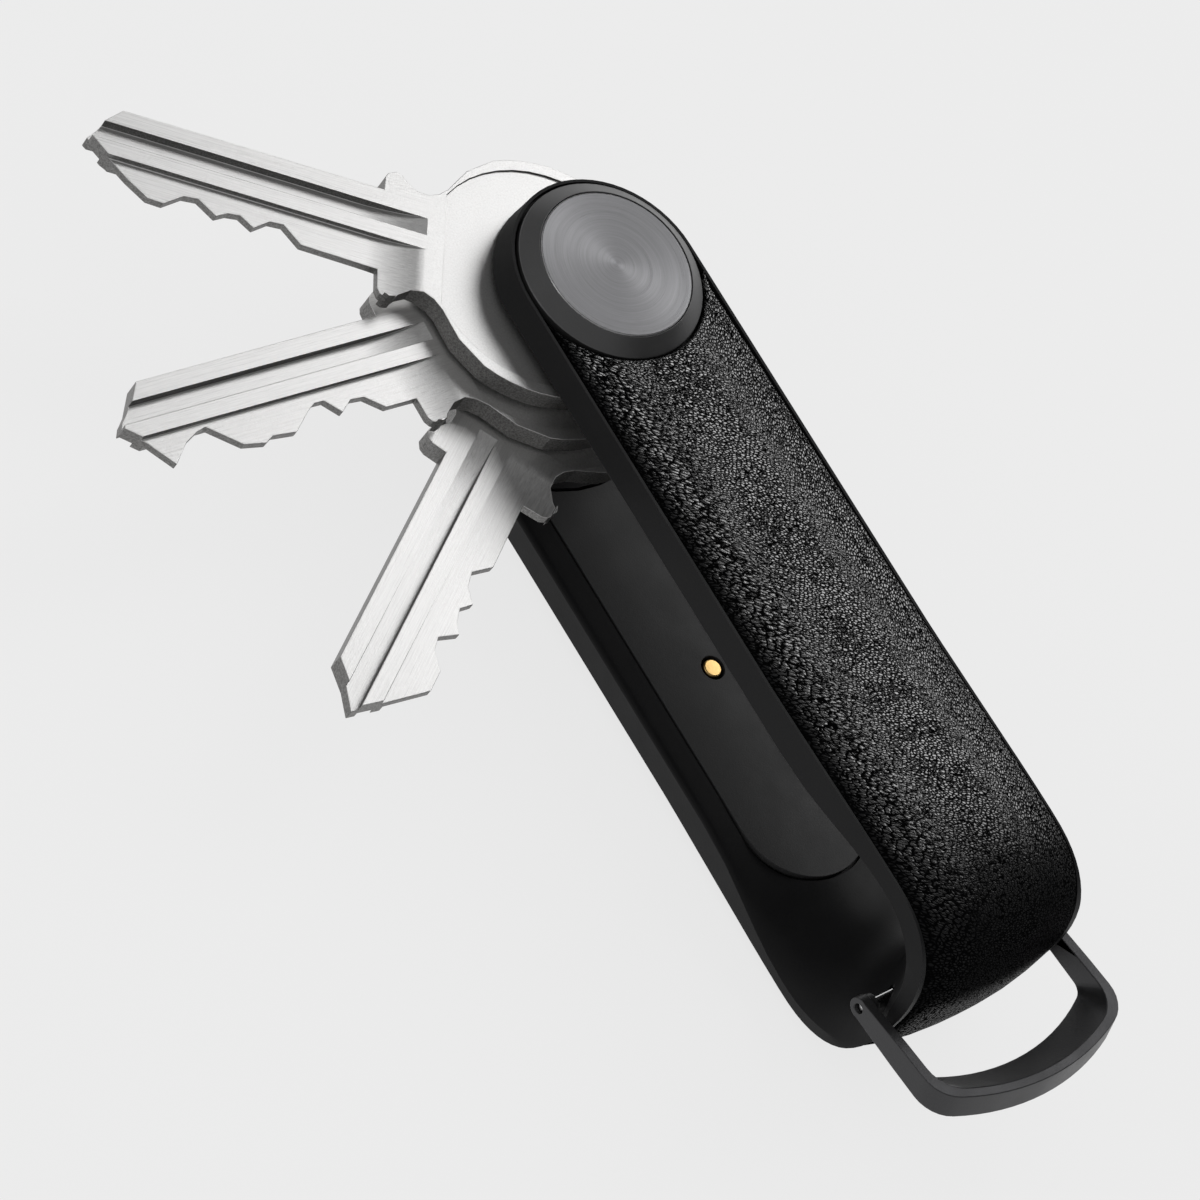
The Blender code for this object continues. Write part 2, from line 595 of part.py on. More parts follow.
# Post, its tension washer and the lock screw
flange_top = CAP_FOOT + POST_FLANGE_THICKNESS
flange_radius = CAP_BORE - CLEARANCE
turned("pivot_post", ((0.0, flange_top), (flange_radius, flange_top), (flange_radius, CAP_FOOT),
                      (POST_RADIUS, CAP_FOOT), (POST_RADIUS, -POST_END), (POST_BORE_RADIUS, -POST_END),
                      (POST_BORE_RADIUS, -POST_BORE_TOP), (0.0, -POST_BORE_TOP)),
       POST, steps=HIDDEN_ROUND_STEPS)


def flat_ring(radius, low, high, ease=0.0):
    """Profile of a flat washer that runs on the post, with its outer corners eased."""
    if ease == 0.0:
        return ((RUNNING_BORE, high), (radius, high), (radius, low), (RUNNING_BORE, low))
    return ((RUNNING_BORE, high), (radius - ease, high), (radius, high - ease), (radius, low + ease),
            (radius - ease, low), (RUNNING_BORE, low))


turned("tension_washer", flat_ring(WASHER_RADIUS, -CAP_FOOT - WASHER_THICKNESS, -CAP_FOOT), WASHER,
       steps=HIDDEN_ROUND_STEPS)
shank_radius = POST_BORE_RADIUS - CLEARANCE
shank_top = MID_HEIGHT - POST_BORE_TOP - SCREW_END_GAP
lock_screw = turned("lock_screw",
                    ((0.0, shank_top), (shank_radius, shank_top), (shank_radius, SCREW_HEAD_THICKNESS),
                     (SCREW_HEAD_RADIUS, SCREW_HEAD_THICKNESS), (SCREW_HEAD_RADIUS, DISC_CHAMFER),
                     (SCREW_HEAD_RADIUS - DISC_CHAMFER, 0.0), (0.0, 0.0)), SCREW, ORIGIN)
slot_bm = bmesh.new()
bmesh.ops.create_cube(slot_bm, size=1.0)
bmesh.ops.scale(slot_bm, vec=(SLOT_LENGTH, SLOT_WIDTH, 2.0 * SLOT_DEPTH), verts=slot_bm.verts)
slot = add("screw_slot_cutter", mesh_of(slot_bm, "screw_slot_cutter"))
cut(lock_screw, slot)


def key_outline(cuts):
    """Plan of one key about its hole: bow, neck with stop lugs, blade."""
    side = [(BOW_CENTRE + BOW_RADIUS * along, BOW_RADIUS * across) for along, across in BOW_NECK_SHARES]
    side.append((NECK_START, NECK_HALF_WIDTH))
    side += [(NECK_START + NECK_LENGTH * along, NECK_HALF_WIDTH + LUG_HEIGHT * across)
             for along, across in LUG_SHARES]
    line = side + [(SHOULDER_X, SPINE_Y + SHOULDER_TOP_SHARE * BLADE_HEIGHT)]
    line += [(SHOULDER_X + BLADE_LENGTH * along, SPINE_Y + BLADE_HEIGHT * across) for along, across in cuts]
    line += [(SHOULDER_X, SPINE_Y)] + [(x, -y) for x, y in reversed(side)]
    first = math.atan2(side[0][1], side[0][0] - BOW_CENTRE)
    return line + arc(BOW_RADIUS, -first, first - 2.0 * math.pi, BOW_STEPS, BOW_CENTRE)[1:-1]


def bow_recess_outline():
    """Plan of the flat inside the bow's raised rim, cut off straight towards the neck."""
    radius = BOW_RADIUS - BOW_RIM_WIDTH
    stop = math.acos(RECESS_END_SHARE * BOW_RADIUS / radius)
    return arc(radius, stop, 2.0 * math.pi - stop, BOW_STEPS, BOW_CENTRE)


def mill_outline(depth, face):
    """Side outline of one milling cut: it runs out to the face in the neck on the cutter wheel's radius."""
    surface = face * 0.5 * KEY_THICKNESS
    outside = face * KEY_THICKNESS
    far = SHOULDER_X + MILL_RUN_SHARE * BLADE_LENGTH
    run_out = math.sqrt(MILL_RADIUS ** 2 - (MILL_RADIUS - depth) ** 2)
    line = [(NECK_START, outside)]
    for index in range(MILL_STEPS + 1):
        left = run_out * (1.0 - index / MILL_STEPS)
        sunk = depth - MILL_RADIUS + math.sqrt(MILL_RADIUS ** 2 - left ** 2)
        line.append((NECK_START + run_out - left, surface - face * sunk))
    return line + [(far, surface - face * depth), (far, outside)]


# Keys: each with its rim, grooves and steps
half_key = 0.5 * KEY_THICKNESS
key_hole = circle(POST_RADIUS + KEY_HOLE_FIT, HIDDEN_ROUND_STEPS)
recess_thickness = KEY_THICKNESS - half_key + BOW_RIM_STEP
mills = (("front_groove", FRONT_GROOVE_SHARES, FRONT_GROOVE_DEPTH, 1.0),
         ("front_step", FRONT_STEP_SHARES, FRONT_STEP_DEPTH, 1.0),
         ("back_groove", BACK_GROOVE_SHARES, BACK_GROOVE_DEPTH, -1.0),
         ("back_step", BACK_STEP_SHARES, BACK_STEP_DEPTH, -1.0))
for number, (angle, cuts) in enumerate(zip(KEY_ANGLES, CUT_SHARES)):
    name = "key_%d" % (number + 1)
    height = MID_HEIGHT + KEY_TOP - number * (KEY_THICKNESS + KEY_GAP) - half_key
    key = add(name, plate(name, [key_outline(cuts), key_hole], KEY_THICKNESS), NICKEL, (0.0, 0.0, height),
              (0.0, 0.0, math.radians(angle)))
    for label, face in (("front", 1.0), ("back", -1.0)):
        tool_name = "%s_%s_recess_cutter" % (name, label)
        offset = face * (half_key - BOW_RIM_STEP + 0.5 * recess_thickness)
        cut(key, add(tool_name, plate(tool_name, [bow_recess_outline()], recess_thickness),
                     location=(0.0, 0.0, offset), parent=key))
    for label, shares, depth, face in mills:
        tool_name = "%s_%s_cutter" % (name, label)
        low, high = [SPINE_Y + BLADE_HEIGHT * share for share in shares]
        cut(key, add(tool_name, plate(tool_name, [mill_outline(depth, face)], high - low),
                     None, (0.0, 0.5 * (low + high), 0.0), UPRIGHT, key))

# Washers between the keys, in the recesses of their bows
washer_room = KEY_GAP + 2.0 * BOW_RIM_STEP
for number in range(1, KEY_COUNT):
    low = KEY_TOP - number * (KEY_THICKNESS + KEY_GAP) - BOW_RIM_STEP + CLEARANCE
    turned("key_washer_%d" % number,
           flat_ring(KEY_WASHER_RADIUS, low, low + washer_room - 2.0 * CLEARANCE),
           WASHER, steps=HIDDEN_ROUND_STEPS)

# Washers that fill the bay under the keys
keys_under = KEY_TOP - KEY_COUNT * KEY_THICKNESS - (KEY_COUNT - 1) * KEY_GAP
stack_height = keys_under + BAY_HALF_HEIGHT
spacer_thickness = (stack_height - (SPACER_COUNT + 2) * CLEARANCE) / (SPACER_COUNT + 1)
level = CLEARANCE - BAY_HALF_HEIGHT
turned("base_washer", flat_ring(BASE_WASHER_RADIUS, level, level + spacer_thickness, DISC_CHAMFER), BASE)
for number in range(1, SPACER_COUNT + 1):
    level += spacer_thickness + CLEARANCE
    turned("spacer_%d" % number, flat_ring(SPACER_RADIUS, level, level + spacer_thickness, DISC_CHAMFER),
           SPACER, steps=HIDDEN_ROUND_STEPS)


def bail_edge(half_width, reach, crown, corner, height):
    """Half of one long edge of the bail, from its middle to the eye: crowned bar, corner, arm."""
    centre = reach - crown
    across = half_width - corner
    along = centre + math.sqrt((crown - corner) ** 2 - across ** 2)
    turn = math.atan2(across, along - centre)
    line = arc(crown, 0.0, turn, CROWN_STEPS // 2, centre)[:-1]
    line += [(along + x, across + y) for x, y in arc(corner, turn, 0.5 * math.pi, CORNER_STEPS)]
    line += [(along * share, half_width) for share in (2.0 / 3.0, 1.0 / 3.0, 0.0)]
    root = math.copysign(0.5 * BAIL_ROOT_HEIGHT, height)
    slope = (BAIL_HEIGHT - BAIL_ROOT_HEIGHT) / BAIL_REACH
    return [(x, y, root + math.copysign(min(abs(height - root), slope * x), height)) for x, y in line]


# Ring bail: four long edges of its own section, lofted, then the eyes and bosses on the pin's axis
half_bail = 0.5 * BAIL_HEIGHT
bail_edges = (
    bail_edge(BAIL_OUTER_HALF_WIDTH, BAIL_REACH, BAIL_CROWN_RADIUS, BAIL_CORNER_RADIUS, half_bail),
    bail_edge(BAIL_OUTER_HALF_WIDTH, BAIL_REACH + BAIL_FOOT_OUT, BAIL_CROWN_RADIUS, BAIL_CORNER_RADIUS,
              -half_bail),
    bail_edge(BAIL_INNER_HALF_WIDTH, BAIL_REACH - BAIL_TOP_BAR - BAIL_FOOT_IN,
              BAIL_FOOT_CROWN_SHARE * BAIL_CROWN_RADIUS, BAIL_FOOT_CORNER, -half_bail),
    bail_edge(BAIL_INNER_HALF_WIDTH, BAIL_REACH - BAIL_TOP_BAR, BAIL_INNER_CROWN_SHARE * BAIL_CROWN_RADIUS,
              BAIL_CORNER_RADIUS, half_bail))
bail_seat = (BAIL_X, 0.0, MID_HEIGHT)
bail_turn = (0.0, -math.radians(BAIL_TILT), 0.0)
bail_rows = list(zip(*bail_edges))
bail = add("ring_bail", loft("ring_bail", bail_rows, open_start=True), BAIL, bail_seat, bail_turn)
mirror_across(bail)
boss_face = BODY_HALF_WIDTH + BAIL_BOSS_GAP
arm_middle = BAIL_INNER_HALF_WIDTH + 0.5 * BAIL_ARM_THICKNESS
for side, label in ((1.0, "far"), (-1.0, "near")):
    for kind, radius, low, high in (("eye", BAIL_EYE_RADIUS, BAIL_INNER_HALF_WIDTH, BAIL_OUTER_HALF_WIDTH),
                                    ("boss", BAIL_BOSS_RADIUS, boss_face, arm_middle)):
        tool_name = "bail_%s_%s_tool" % (label, kind)
        tool = add(tool_name, drum(tool_name, radius, high - low, SMALL_ROUND_STEPS),
                   None, (0.0, side * 0.5 * (low + high), 0.0), ACROSS, bail)
        cut(bail, tool, "UNION")
hole_length = 2.0 * BAIL_OUTER_HALF_WIDTH + CLEARANCE
bail_hole = add("bail_pin_hole_cutter",
                drum("bail_pin_hole_cutter", PIN_RADIUS + PIN_FIT, hole_length, SMALL_ROUND_STEPS),
                None, ORIGIN, ACROSS, bail)
cut(bail, bail_hole)
pin_length = 2.0 * (BAIL_OUTER_HALF_WIDTH - PIN_INSET)
add("bail_pin", drum("bail_pin", PIN_RADIUS, pin_length, SMALL_ROUND_STEPS), PIN, bail_seat, ACROSS)
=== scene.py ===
"""Looks of the key organizer: finishes, the wrapped leather, eased pieces, soft studio light and camera."""
import json
import math

import bmesh
import bpy
from mathutils import Matrix, Vector

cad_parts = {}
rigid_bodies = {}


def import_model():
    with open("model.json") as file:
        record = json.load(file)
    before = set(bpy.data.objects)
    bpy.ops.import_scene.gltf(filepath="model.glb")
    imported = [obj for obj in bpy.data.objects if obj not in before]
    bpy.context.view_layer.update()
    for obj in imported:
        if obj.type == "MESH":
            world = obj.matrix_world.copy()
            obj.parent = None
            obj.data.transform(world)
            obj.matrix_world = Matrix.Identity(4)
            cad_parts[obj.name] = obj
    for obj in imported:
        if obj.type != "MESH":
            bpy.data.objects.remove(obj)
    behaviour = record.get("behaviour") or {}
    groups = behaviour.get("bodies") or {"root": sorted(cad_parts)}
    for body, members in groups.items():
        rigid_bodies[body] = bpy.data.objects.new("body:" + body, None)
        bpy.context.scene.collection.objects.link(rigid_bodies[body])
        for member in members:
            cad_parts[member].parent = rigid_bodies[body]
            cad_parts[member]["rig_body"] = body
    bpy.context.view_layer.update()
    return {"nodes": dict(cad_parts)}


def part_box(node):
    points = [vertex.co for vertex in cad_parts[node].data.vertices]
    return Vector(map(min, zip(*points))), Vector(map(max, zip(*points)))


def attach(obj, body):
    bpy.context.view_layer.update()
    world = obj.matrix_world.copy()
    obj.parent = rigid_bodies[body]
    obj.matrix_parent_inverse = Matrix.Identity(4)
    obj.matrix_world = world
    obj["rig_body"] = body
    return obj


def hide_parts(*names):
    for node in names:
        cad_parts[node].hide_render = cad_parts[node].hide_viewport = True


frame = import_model()
NODES = frame["nodes"]
MM = 0.001

# Greys of the background, the room and the floor, and the directions between which one meets the next.
BACKGROUND_GREY = 0.845
ROOM_GREY = 0.8
CEILING_GREY = 0.05
FRONT_CEILING_GREY = 0.4
WALL_TO_CEILING = (0.15, 0.3)
FRONT_TO_BACK = (-0.1, 0.35)
FLOOR_GREY = 0.8
FLOOR_ROUGHNESS = 0.8
FLOOR_GLOW_SHARE = 0.9
FLOOR_HALF_SIZE = 3.0

# Lamps: how far they stand from the place they look at.
LAMP_DISTANCE = 0.8
LAMP_TARGET = (0.02, 0.0, 0.012)

# Camera at the photograph's viewing angle. Sensor and focal length are in millimetres, the rest in metres.
CAMERA_RIGHT = (0.51023, 0.74296, 0.43321)
CAMERA_UP = (-0.8317, 0.298, 0.46848)
CAMERA_BACK = (0.21896, -0.59933, 0.76997)
CAMERA_PLACE = (0.12743, -0.29054, 0.36927)
SENSOR_WIDTH = 36.0
FOCAL_LENGTH = 151.33
CLIP_NEAR = 0.01
CLIP_FAR = 50.0

# Cover: where its edges lie, and how far its copy is drawn under the caps and out to the lips.
COVER_CAP_EDGE = 9.95 * MM
COVER_CAP_BAND = 0.2 * MM
COVER_HALF_WIDTH = 9.5 * MM
COVER_EASING = 0.3 * MM
CAP_TUCK = 0.3 * MM
LIP_TUCK = 0.26 * MM

# Leather grain: its direction in degrees, how far it is drawn out, and its spacing.
NEAR_CREASES = (46.0, 3.2, 0.265 * MM)
MIDDLE_GRAINS = (52.0, 1.9, 0.225 * MM)
FAR_GRAINS = (-35.0, 1.8, 0.235 * MM)
GRAIN_RANDOMNESS = 0.85
GRAIN_EDGE_SHARE = 0.30
CREASE_POWER = 1.35
WANDER_LENGTH = 0.2 * MM
WANDER_SCALE = 1100.0
PORE_SCALE = 6000.0
SWELL_SCALE = 300.0
GRAIN_HEIGHT = 0.045 * MM
PORE_HEIGHT = 0.025 * MM
SWELL_HEIGHT = 0.3 * MM

# Bands of the leather: from creases to grains across Y, and where its shine is faded, a painted shade on the
# bend and at the rolled near edge, or comes back on the end face.
NEAR_TO_MIDDLE = (-6.5 * MM, -1.0 * MM)
MIDDLE_TO_FAR = (2.5 * MM, 7.0 * MM)
ROLLED_EDGE = (-9.6 * MM, -7.2 * MM)
BEND_START = (56.0 * MM, 71.5 * MM)
END_FACE_TOP = (13.5 * MM, 17.8 * MM)
BEND_SHINE = 0.03
END_SHINE = 0.34

# Turned discs. Their chamfer band is given a bright colour, a painted highlight.
DISC_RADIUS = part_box("front_disc")[1][0]
SCREW_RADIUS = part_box("lock_screw")[1][0]
DISC_SPREAD = 0.1 * MM
CHAMFER_HIGHLIGHT_WIDTH = 0.12 * MM
CHAMFER_HIGHLIGHT_BLEND = 0.03 * MM
PAINTED_CHAMFER_HIGHLIGHT = (0.55, 0.55, 0.555)
TURNED_GREY = (0.155, 0.155, 0.16)
TURNED_DARK = tuple(0.6 * channel for channel in TURNED_GREY)
TURNED_LIGHT = tuple(1.35 * channel for channel in TURNED_GREY)
TURNING_SCALE = 3000.0
TURNING_DRIFT = 60.0
TURNING_HEIGHT = 0.01 * MM

# Keys: their turn about the post in degrees, where the blade starts, the slope past which faces take the
# flanks' painted shade, and their marks.
KEY_ANGLES = {"key_1": -126.0, "key_2": -93.2, "key_3": -56.5}
BLADE_START = (15.5 * MM, 18.5 * MM)
FLAT_FACE_SLOPE = (0.45, 0.8)
SCRATCH_HEIGHT = 0.012 * MM
SPECK_SCALE = 5500.0
SPECK_HEIGHT = 0.02 * MM

# Relief of the moulded, coated and plain metal finishes.
FINE_GRAIN_HEIGHT = 0.02 * MM

# Copies of the solids: how near points are joined, and the angles in degrees up to which faces merge or
# shade smooth.
JOIN_DISTANCE = 0.015 * MM
FLAT_ANGLE = 0.4
SMOOTH_UP_TO = 50.0
OWN_SMOOTH_UP_TO = {"frame": 18.0, "key_1": 12.0, "key_2": 12.0, "key_3": 12.0}


# Node helpers.
def new_material(name):
    """A node material, its tree and its Principled shader."""
    made = bpy.data.materials.new(name)
    made.use_nodes = True
    return made, made.node_tree, made.node_tree.nodes["Principled BSDF"]


def node(tree, kind, inputs=None, **settings):
    """A node with its settings; the numbers and vectors in inputs are set by name."""
    made = tree.nodes.new(kind)
    for name, value in settings.items():
        setattr(made, name, value)
    for name, value in (inputs or {}).items():
        made.inputs[name].default_value = value
    return made


def wire(tree, source, target):
    tree.links.new(source, target)


def feed(tree, target, value):
    """A number, a colour or a link for one input."""
    if isinstance(value, (int, float)):
        target.default_value = value
    elif isinstance(value, tuple):
        target.default_value = (*value, 1.0)
    else:
        wire(tree, value, target)


def split_xyz(tree, vector):
    """A vector's X, Y and Z, by name."""
    made = node(tree, "ShaderNodeSeparateXYZ")
    wire(tree, vector, made.inputs["Vector"])
    return made.outputs


def ramp(tree, source, stops):
    """A colour ramp over stops of (place, grey or colour)."""
    made = node(tree, "ShaderNodeValToRGB")
    line = made.color_ramp
    while len(line.elements) < len(stops):
        line.elements.new(0.5)
    for element, (place, value) in zip(line.elements, stops):
        element.position = place
        element.color = (value, value, value, 1.0) if isinstance(value, float) else (*value, 1.0)
    wire(tree, source, made.inputs["Fac"])
    return made.outputs["Color"]


def maths(tree, operation, first, second=None, third=None):
    made = node(tree, "ShaderNodeMath", operation=operation)
    for target, value in zip(made.inputs, (first, second, third)):
        if value is not None:
            feed(tree, target, value)
    return made.outputs["Value"]


def vector_maths(tree, operation, first, second):
    """One sum on vectors, each of them a link or three numbers."""
    made = node(tree, "ShaderNodeVectorMath", operation=operation)
    for target, value in zip(made.inputs, (first, second)):
        if isinstance(value, tuple):
            target.default_value = value
        else:
            wire(tree, value, target)
    return made.outputs["Vector"]


def mix_colour(tree, factor, first, second):
    made = node(tree, "ShaderNodeMix", data_type="RGBA")
    for name, value in (("Factor", factor), ("A", first), ("B", second)):
        feed(tree, made.inputs[name], value)
    return made.outputs["Result"]


def mapped(tree, value, band, levels=(0.0, 1.0), smooth=False):
    """A value that runs from one level to the other as it crosses a band."""
    made = node(tree, "ShaderNodeMapRange", interpolation_type="SMOOTHSTEP" if smooth else "LINEAR",
                inputs={"From Min": band[0], "From Max": band[1], "To Min": levels[0], "To Max": levels[1]})
    wire(tree, value, made.inputs["Value"])
    return made.outputs["Result"]


def noise(tree, vector, scale, detail, roughness, output="Fac"):
    made = node(tree, "ShaderNodeTexNoise",
                inputs={"Scale": scale, "Detail": detail, "Roughness": roughness})
    wire(tree, vector, made.inputs["Vector"])
    return made.outputs[output]


def bump(tree, height, distance, strength=1.0, under=None):
    """A relief, laid over another one where it is given."""
    made = node(tree, "ShaderNodeBump", inputs={"Distance": distance, "Strength": strength})
    wire(tree, height, made.inputs["Height"])
    if under is not None:
        wire(tree, under, made.inputs["Normal"])
    return made.outputs["Normal"]


# Fine grain, the group that the moulded, coated and plain metal finishes share.
def fine_grain_group():
    """Mottled roughness, a faint change of shade and a fine moulded or blasted grain, all over a surface."""
    group = bpy.data.node_groups.new("fine_grain", "ShaderNodeTree")
    defaults = {"Grain Scale": 6000.0, "Mottle Scale": 250.0, "Roughness Low": 0.4, "Roughness High": 0.5,
                "Grain Height": 0.5}
    for name, value in defaults.items():
        made = group.interface.new_socket(name=name, in_out="INPUT", socket_type="NodeSocketFloat")
        made.default_value = value
    for name, kind in {"Roughness": "Float", "Shade": "Float", "Normal": "Vector"}.items():
        group.interface.new_socket(name=name, in_out="OUTPUT", socket_type="NodeSocket" + kind)
    given = node(group, "NodeGroupInput").outputs
    result = node(group, "NodeGroupOutput").inputs
    own = node(group, "ShaderNodeTexCoord").outputs["Object"]
    grain = node(group, "ShaderNodeTexNoise", inputs={"Detail": 3.0, "Roughness": 0.6})
    mottle = node(group, "ShaderNodeTexNoise", inputs={"Detail": 5.0, "Roughness": 0.6})
    for pattern, name in ((grain, "Grain Scale"), (mottle, "Mottle Scale")):
        wire(group, own, pattern.inputs["Vector"])
        wire(group, given[name], pattern.inputs["Scale"])
    blend = node(group, "ShaderNodeMapRange", inputs={"From Min": 0.3, "From Max": 0.7})
    wire(group, mottle.outputs["Fac"], blend.inputs["Value"])
    wire(group, given["Roughness Low"], blend.inputs["To Min"])
    wire(group, given["Roughness High"], blend.inputs["To Max"])
    wire(group, blend.outputs["Result"], result["Roughness"])
    shade = maths(group, "ADD", maths(group, "MULTIPLY", mottle.outputs["Fac"], 0.5),
                  maths(group, "MULTIPLY", grain.outputs["Fac"], 0.5))
    wire(group, shade, result["Shade"])
    relief = node(group, "ShaderNodeBump", inputs={"Distance": FINE_GRAIN_HEIGHT})
    wire(group, grain.outputs["Fac"], relief.inputs["Height"])
    wire(group, given["Grain Height"], relief.inputs["Strength"])
    wire(group, relief.outputs["Normal"], result["Normal"])
    return group


FINE_GRAIN = fine_grain_group()


def grained(name, dark, light, roughness, grain, height=0.5, metallic=0.0, specular=0.5):
    """A finish with fine grain: moulded polymer, blasted or coated metal."""
    made, tree, shader = new_material(name)
    pattern = node(tree, "ShaderNodeGroup", node_tree=FINE_GRAIN,
                   inputs={"Grain Scale": grain, "Grain Height": height,
                           "Roughness Low": roughness[0], "Roughness High": roughness[1]})
    wire(tree, pattern.outputs["Roughness"], shader.inputs["Roughness"])
    wire(tree, pattern.outputs["Normal"], shader.inputs["Normal"])
    wire(tree, mix_colour(tree, pattern.outputs["Shade"], dark, light), shader.inputs["Base Color"])
    shader.inputs["Metallic"].default_value = metallic
    shader.inputs["Specular IOR Level"].default_value = specular
    return made


# Leather.
def pebbles(tree, vector, turn, stretch, spacing):
    """Rounded grains parted by thin creases, drawn out along a direction in the plane."""
    mapping = node(tree, "ShaderNodeMapping", vector_type="TEXTURE",
                   inputs={"Rotation": (0.0, 0.0, math.radians(turn)), "Scale": (stretch, 1.0, 1.0)})
    wire(tree, vector, mapping.inputs["Vector"])
    cells = node(tree, "ShaderNodeTexVoronoi", feature="DISTANCE_TO_EDGE",
                 inputs={"Scale": 1.0 / spacing, "Randomness": GRAIN_RANDOMNESS})
    wire(tree, mapping.outputs["Vector"], cells.inputs["Vector"])
    return mapped(tree, cells.outputs["Distance"], (0.0, GRAIN_EDGE_SHARE), smooth=True)


def wandering(tree, vector):
    """A place that wanders a little, so that no crease runs straight."""
    wander = noise(tree, vector, WANDER_SCALE, detail=3.0, roughness=0.6, output="Color")
    centred = vector_maths(tree, "SUBTRACT", wander, (0.5, 0.5, 0.5))
    scaled = node(tree, "ShaderNodeVectorMath", operation="SCALE", inputs={"Scale": WANDER_LENGTH})
    wire(tree, centred, scaled.inputs[0])
    return vector_maths(tree, "ADD", vector, scaled.outputs["Vector"])


def leather_finish():
    """Fine black leather: small grains parted by thin creases, drawn out long at the near side.

    Only the crests shine. Their shine is faded at the rolled near edge and on the bend, less so on the end
    face: a painted shade.
    """
    made, tree, shader = new_material("wrapped_leather")
    own = node(tree, "ShaderNodeTexCoord").outputs["Object"]
    place = split_xyz(tree, own)
    warped = wandering(tree, own)
    near = maths(tree, "POWER", pebbles(tree, warped, *NEAR_CREASES), CREASE_POWER)
    middle = pebbles(tree, warped, *MIDDLE_GRAINS)
    far = pebbles(tree, warped, *FAR_GRAINS)
    near_side = mix_colour(tree, mapped(tree, place["Y"], NEAR_TO_MIDDLE), near, middle)
    grain = mix_colour(tree, mapped(tree, place["Y"], MIDDLE_TO_FAR), near_side, far)
    pores = noise(tree, own, PORE_SCALE, detail=3.0, roughness=0.6)
    swell = noise(tree, own, SWELL_SCALE, detail=3.0, roughness=0.5)
    relief = bump(tree, grain, GRAIN_HEIGHT)
    relief = bump(tree, pores, PORE_HEIGHT, strength=0.6, under=relief)
    relief = bump(tree, swell, SWELL_HEIGHT, strength=0.035, under=relief)
    wire(tree, relief, shader.inputs["Normal"])
    wire(tree, relief, shader.inputs["Coat Normal"])
    # Base colour darkest in the creases and lightest on the crests: painted shade in the creases.
    wire(tree, ramp(tree, grain, ((0.0, (0.0010, 0.0010, 0.0011)), (0.5, (0.0035, 0.0035, 0.0037)),
                                  (1.0, (0.008, 0.008, 0.0083)))), shader.inputs["Base Color"])
    wire(tree, mapped(tree, pores, (0.0, 1.0), (0.34, 0.5)), shader.inputs["Roughness"])
    # The shine is faded towards the bend and at the rolled near edge: painted shade.
    painted_bend_shade = mapped(tree, place["X"], BEND_START, (1.0, BEND_SHINE), smooth=True)
    on_end_face = mapped(tree, place["Z"], END_FACE_TOP, (END_SHINE, 0.0), smooth=True)
    shine = maths(tree, "MAXIMUM", painted_bend_shade, on_end_face)
    crests = maths(tree, "MULTIPLY", ramp(tree, grain, ((0.13, 0.0), (0.62, 1.0))), shine)
    crests = maths(tree, "MULTIPLY", crests, mapped(tree, place["Y"], ROLLED_EDGE, smooth=True))
    wire(tree, crests, shader.inputs["Coat Weight"])
    shader.inputs["Coat Roughness"].default_value = 0.18
    shader.inputs["Coat IOR"].default_value = 2.3
    shader.inputs["Specular IOR Level"].default_value = 0.0
    return made


# Metals.
def brushed_disc(name, rim_start):
    """Turned metal: fine concentric lines, a highlight that fans out from the middle, and a chamfer band
    painted bright, a painted highlight.
    """
    made, tree, shader = new_material(name)
    own = node(tree, "ShaderNodeTexCoord").outputs["Object"]
    place = split_xyz(tree, own)
    squares = [maths(tree, "MULTIPLY", place[axis], place[axis]) for axis in ("X", "Y")]
    radius = maths(tree, "SQRT", maths(tree, "ADD", *squares))
    rings = node(tree, "ShaderNodeCombineXYZ")
    wire(tree, maths(tree, "MULTIPLY", radius, TURNING_SCALE), rings.inputs["X"])
    wire(tree, maths(tree, "MULTIPLY", place["X"], TURNING_DRIFT), rings.inputs["Y"])
    wire(tree, maths(tree, "MULTIPLY", place["Y"], TURNING_DRIFT), rings.inputs["Z"])
    lines = noise(tree, rings.outputs["Vector"], 1.0, detail=5.0, roughness=0.8)
    wire(tree, bump(tree, lines, TURNING_HEIGHT, strength=0.35), shader.inputs["Normal"])
    turned = ramp(tree, lines, ((0.3, TURNED_DARK), (0.7, TURNED_LIGHT)))
    # Past rim_start the colour turns bright: a painted highlight on the chamfer band.
    on_painted_chamfer_highlight = mapped(tree, radius, (rim_start, rim_start + CHAMFER_HIGHLIGHT_BLEND))
    wire(tree, mix_colour(tree, on_painted_chamfer_highlight, turned, PAINTED_CHAMFER_HIGHLIGHT), shader.inputs["Base Color"])
    wire(tree, mapped(tree, lines, (0.3, 0.7), (0.26, 0.38)), shader.inputs["Roughness"])
    shader.inputs["Metallic"].default_value = 1.0
    shader.inputs["Anisotropic"].default_value = 0.85
    straight = node(tree, "ShaderNodeVectorMath", operation="NORMALIZE")
    wire(tree, vector_maths(tree, "MULTIPLY", (1.0, 1.0, 0.0), own), straight.inputs[0])
    wire(tree, straight.outputs["Vector"], shader.inputs["Tangent"])
    return made


def streaks(tree, vector, along, across, detail):
    """Noise that is drawn out along X."""
    stretched = node(tree, "ShaderNodeMapping", inputs={"Scale": (along, across, across)})
    wire(tree, vector, stretched.inputs["Vector"])
    return noise(tree, stretched.outputs["Vector"], 1.0, detail, roughness=0.75)


